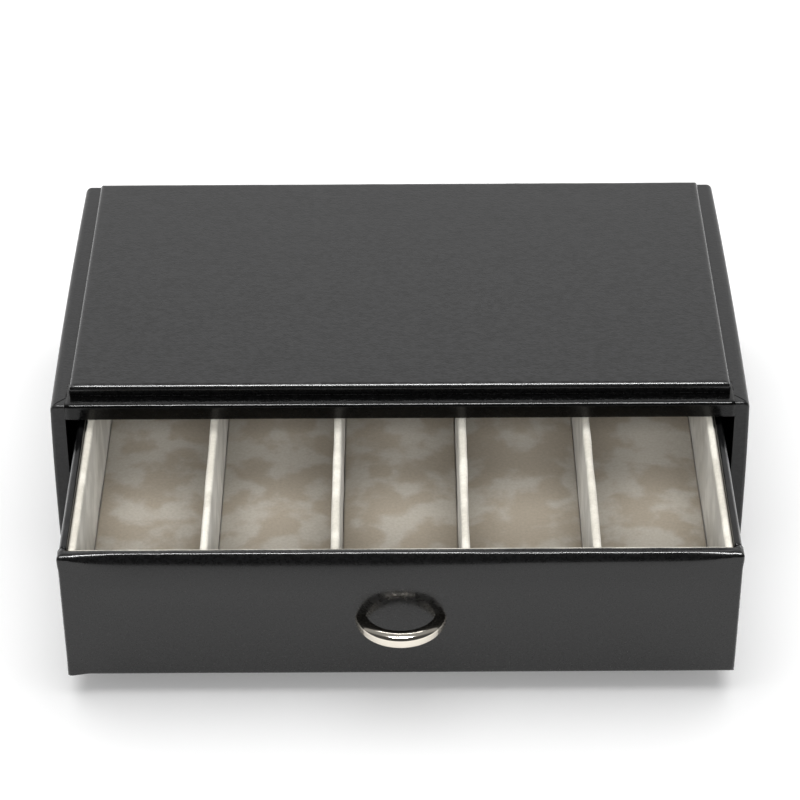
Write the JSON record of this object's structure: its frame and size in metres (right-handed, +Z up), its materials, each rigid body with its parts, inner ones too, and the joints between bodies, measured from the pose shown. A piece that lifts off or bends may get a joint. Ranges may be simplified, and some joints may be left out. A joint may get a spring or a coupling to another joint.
{
  "type": "cufflink box with drawer",
  "caption": "Low stackable leather box with one sliding drawer that holds a velour insert of compartments, a padded front and a half-ring pull.",
  "frame": {"origin": "centre of the case's footprint, on the surface that it stands on", "axes": "+X right seen from the front, +Y to the back (the drawer pulls out along -Y), +Z up"},
  "size_m": [0.2628, 0.2576, 0.0768],
  "materials": {
    "leather": "fine-grained, semi-gloss",
    "felt": "matte felt",
    "lining": "matte",
    "foam": "soft foam",
    "velour_floor": "velour, brushed unevenly",
    "velour_wall": "velour",
    "card": "matte",
    "board": "plain board",
    "nickel": "polished",
    "steel": "plain"
  },
  "bodies": {
    "case": {"base_rim": "board", "bottom_board": "board", "right_side_board": "board", "left_side_board": "board", "back_board": "board", "roof_board": "board", "right_side_foam": "foam", "left_side_foam": "foam", "right_side_leather": "leather", "left_side_leather": "leather", "back_leather": "leather", "roof_edge_leather": "leather", "threshold_leather": "leather", "right_lining": "lining", "left_lining": "lining", "floor_lining": "lining", "roof_lining": "lining", "back_lining": "lining", "plate_board": "board", "plate_leather": "leather", "base_felt": "felt", "recess_felt": "felt"},
    "drawer": {"compartment_pad_1": "velour_floor", "compartment_pad_2": "velour_floor", "compartment_pad_3": "velour_floor", "compartment_pad_4": "velour_floor", "compartment_pad_5": "velour_floor", "divider_1": "velour_wall", "divider_2": "velour_wall", "divider_3": "velour_wall", "divider_4": "velour_wall", "divider_cards": "card", "drawer_back_board": "board", "drawer_back_leather": "leather", "drawer_bottom_board": "board", "drawer_front_board": "board", "drawer_front_foam": "foam", "drawer_front_leather": "leather", "drawer_left_board": "board", "drawer_left_leather": "leather", "drawer_right_board": "board", "drawer_right_leather": "leather", "drawer_underside": "felt", "floor_card": "card", "insert_back_card": "card", "insert_back_wall": "velour_wall", "insert_front_lining": "velour_wall", "insert_left_card": "card", "insert_left_wall": "velour_wall", "insert_right_card": "card", "insert_right_wall": "velour_wall", "pull": "nickel", "pull_nuts": "steel", "pull_washers": "steel"}
  },
  "joints": [
    {"name": "drawer_slide", "type": "slide", "parent": "case", "child": "drawer", "axis": [0, -1, 0], "range_m": [-0.0798, 0.0762]}
  ]
}
